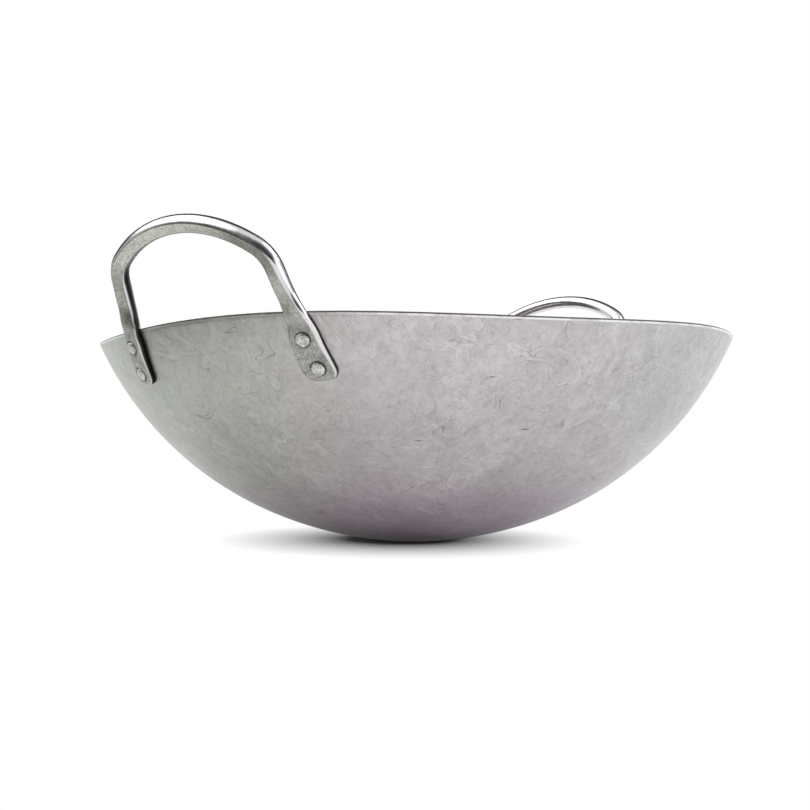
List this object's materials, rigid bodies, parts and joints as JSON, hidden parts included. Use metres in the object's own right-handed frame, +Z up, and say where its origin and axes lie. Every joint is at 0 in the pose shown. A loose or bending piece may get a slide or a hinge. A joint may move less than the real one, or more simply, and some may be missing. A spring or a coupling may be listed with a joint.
{
  "type": "wok",
  "caption": "Round-bottomed carbon steel wok with a deep open bowl and a riveted forged loop handle on each side, standing on a small flat seat.",
  "frame": {"origin": "on the floor under the middle of the bowl, where the seat touches", "axes": "+Z up along the bowl's axis; the handles stand on +X (right) and -X (left), so X is the longest extent; -Y is the front"},
  "size_m": [0.3906, 0.3556, 0.1594],
  "materials": {
    "bowl_steel": "bare carbon steel sheet, satin, with cloudy polishing marks and fine scratches",
    "handle_steel": "bare forged steel, flat side satin, rounded back polished",
    "rivet_steel": "bare steel, hammered and worn bright"
  },
  "bodies": {
    "root": {"bowl": "bowl_steel", "left_handle": "handle_steel", "right_handle": "handle_steel", "left_front_upper_rivet": "rivet_steel", "left_front_lower_rivet": "rivet_steel", "left_rear_upper_rivet": "rivet_steel", "left_rear_lower_rivet": "rivet_steel", "right_front_upper_rivet": "rivet_steel", "right_front_lower_rivet": "rivet_steel", "right_rear_upper_rivet": "rivet_steel", "right_rear_lower_rivet": "rivet_steel"}
  },
  "joints": []
}
